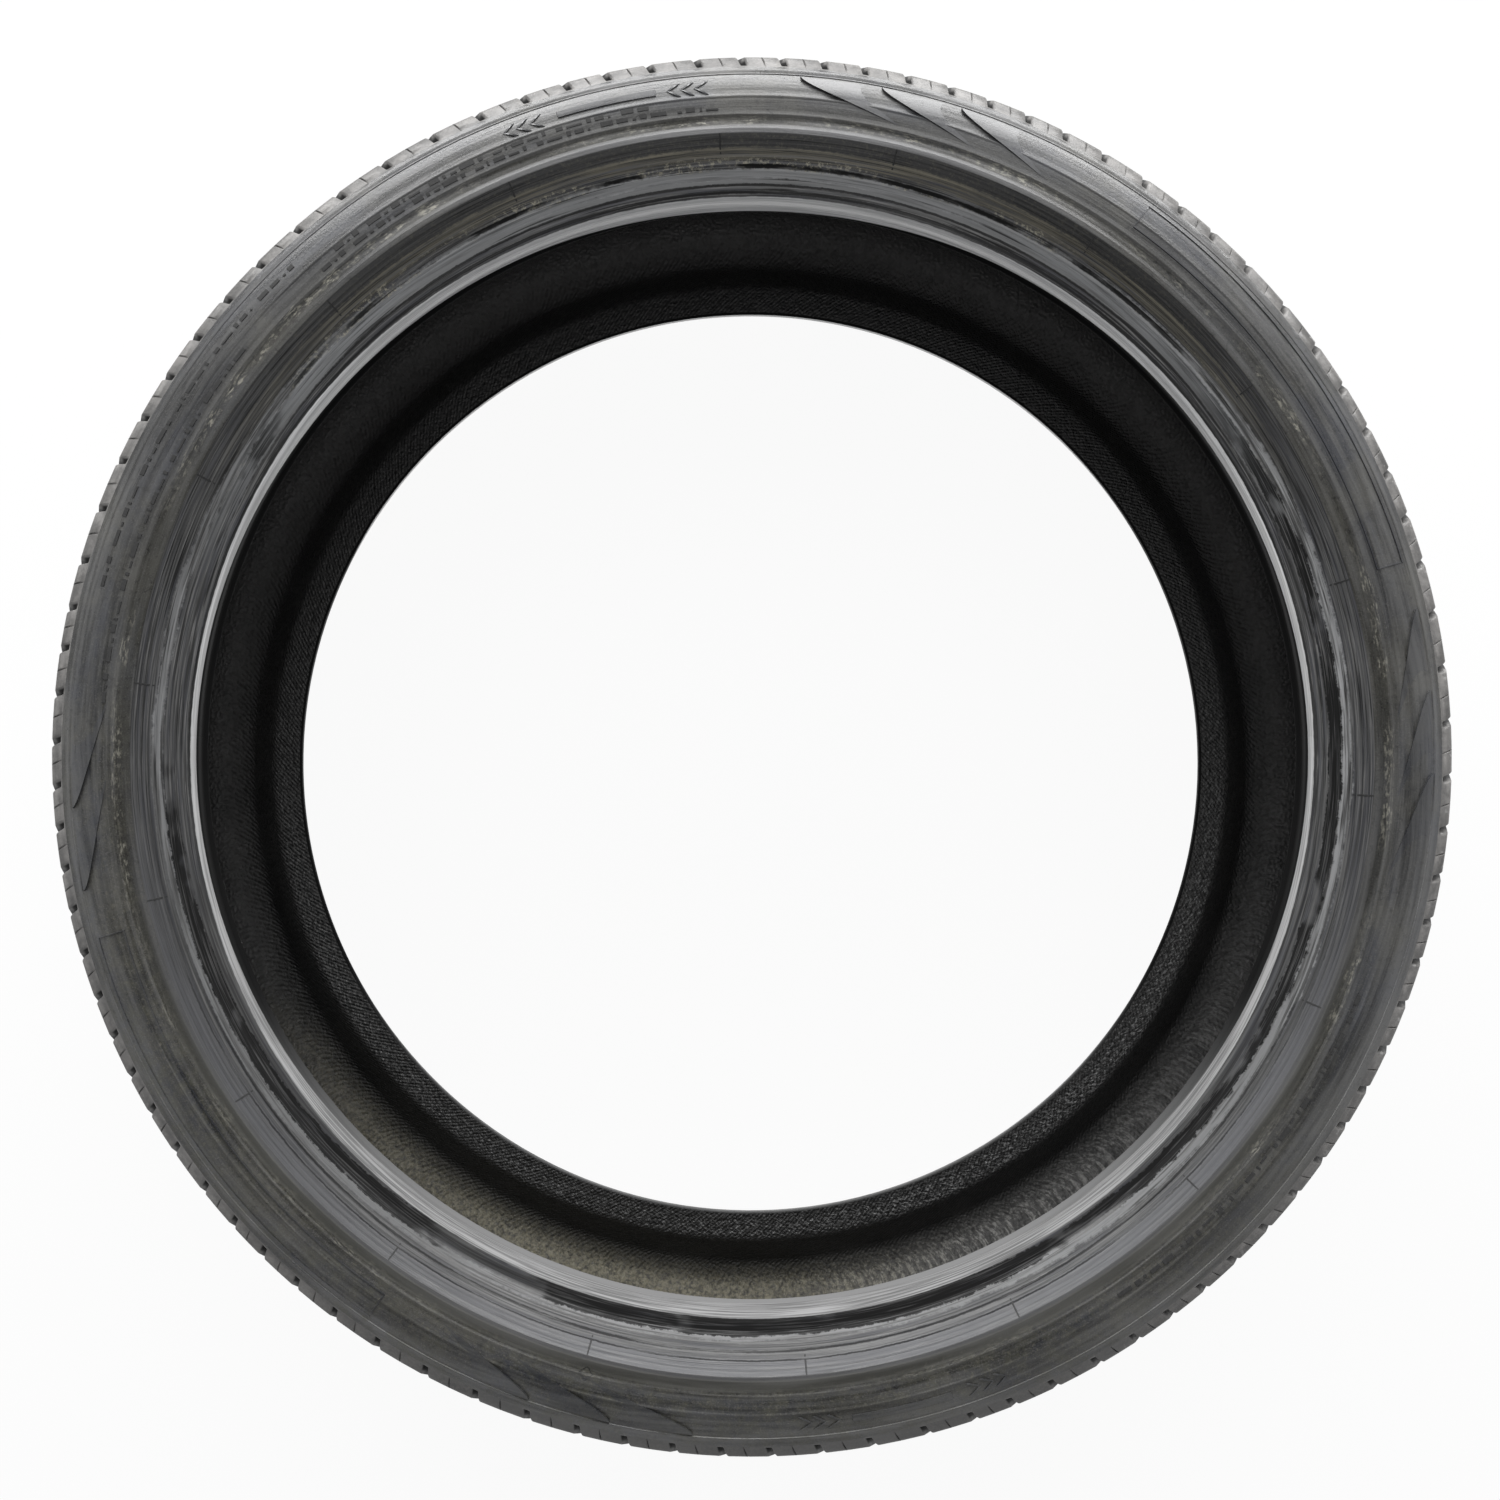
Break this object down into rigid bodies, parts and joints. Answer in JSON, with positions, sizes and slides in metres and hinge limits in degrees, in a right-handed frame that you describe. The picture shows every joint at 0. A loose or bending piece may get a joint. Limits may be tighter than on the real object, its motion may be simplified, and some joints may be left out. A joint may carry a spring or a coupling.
{
  "type": "car tyre",
  "caption": "Low-profile car tyre with a rim protector rib on each sidewall, two channels around the tread and cross grooves over the shoulders.",
  "frame": {"origin": "on the axle line, halfway between the two sidewalls", "axes": "+Z along the axle line, up out of the sidewall that shows in the picture; +Y towards the top of the picture"},
  "size_m": [0.655, 0.6548, 0.248],
  "materials": {
    "tyre_rubber": "dusty satin black moulded rubber"
  },
  "bodies": {
    "root": {"tyre": "tyre_rubber"}
  },
  "joints": []
}
